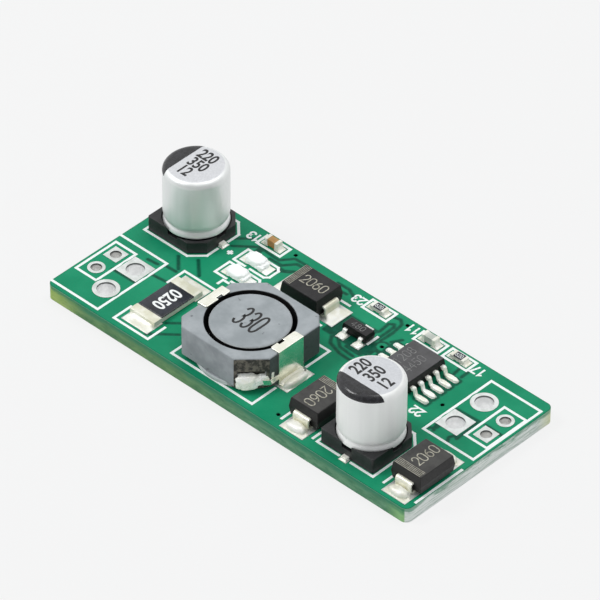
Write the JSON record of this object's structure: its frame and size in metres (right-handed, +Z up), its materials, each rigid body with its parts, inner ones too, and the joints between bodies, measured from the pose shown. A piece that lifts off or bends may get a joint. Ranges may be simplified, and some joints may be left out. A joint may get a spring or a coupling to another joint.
{
  "type": "battery charger module",
  "caption": "Small green charger board with upright capacitors, a shielded coil, flat diodes, a controller chip and plated hole rows at both ends.",
  "frame": {"origin": "centre of the board's underside", "axes": "+X along the long edge towards the output end, +Y towards the edge with the small chips, +Z up out of the parts side"},
  "size_m": [0.045, 0.0194, 0.0093],
  "materials": {
    "mask": "glossy green mask over laminate",
    "plating": "tinned copper",
    "print": "white screen print",
    "solder": "bright solder",
    "can": "satin drawn can",
    "seal": "black rubber",
    "foot": "black moulding",
    "tin": "tinned strip",
    "ink": "black ink",
    "ferrite": "fine grey ferrite",
    "winding": "dark enamelled wire",
    "moulding": "dark moulding compound",
    "alumina": "white fired ceramic",
    "coating": "dark glassy coat",
    "tan_ceramic": "tan fired ceramic",
    "pale_ceramic": "pale fired ceramic",
    "lamp_white": "white moulding",
    "lens": "milky clear resin"
  },
  "bodies": {
    "root": {"circuit_board": "mask", "terminal_pads": "plating", "header_pads": "plating", "surface_pads": "plating", "legend_print": "print", "solder_joints": "solder", "input_capacitor_can": "can", "input_capacitor_bung": "seal", "input_capacitor_base": "foot", "input_capacitor_tabs": "tin", "input_capacitor_polarity_mark": "ink", "output_capacitor_can": "can", "output_capacitor_bung": "seal", "output_capacitor_base": "foot", "output_capacitor_tabs": "tin", "output_capacitor_polarity_mark": "ink", "coil_shield": "ferrite", "coil_core": "ferrite", "coil_winding": "winding", "coil_wire_ends": "solder", "coil_right_terminal": "tin", "coil_left_terminal": "tin", "controller_chip_body": "moulding", "controller_chip_leads": "tin", "transistor_body": "moulding", "transistor_leads": "tin", "power_resistor_core": "alumina", "power_resistor_ends": "tin", "power_resistor_coating": "coating", "first_diode_body": "moulding", "first_diode_right_strap": "tin", "first_diode_left_strap": "tin", "second_diode_body": "moulding", "second_diode_right_strap": "tin", "second_diode_left_strap": "tin", "third_diode_body": "moulding", "third_diode_right_strap": "tin", "third_diode_left_strap": "tin", "upper_lamp_base": "lamp_white", "upper_lamp_contacts": "tin", "upper_lamp_lens": "lens", "lower_lamp_base": "lamp_white", "lower_lamp_contacts": "tin", "lower_lamp_lens": "lens", "left_ceramic_capacitor_block": "tan_ceramic", "left_ceramic_capacitor_ends": "tin", "left_small_resistor_core": "alumina", "left_small_resistor_ends": "tin", "left_small_resistor_coating": "coating", "right_ceramic_capacitor_block": "pale_ceramic", "right_ceramic_capacitor_ends": "tin", "right_small_resistor_core": "alumina", "right_small_resistor_ends": "tin", "right_small_resistor_coating": "coating"}
  },
  "joints": []
}
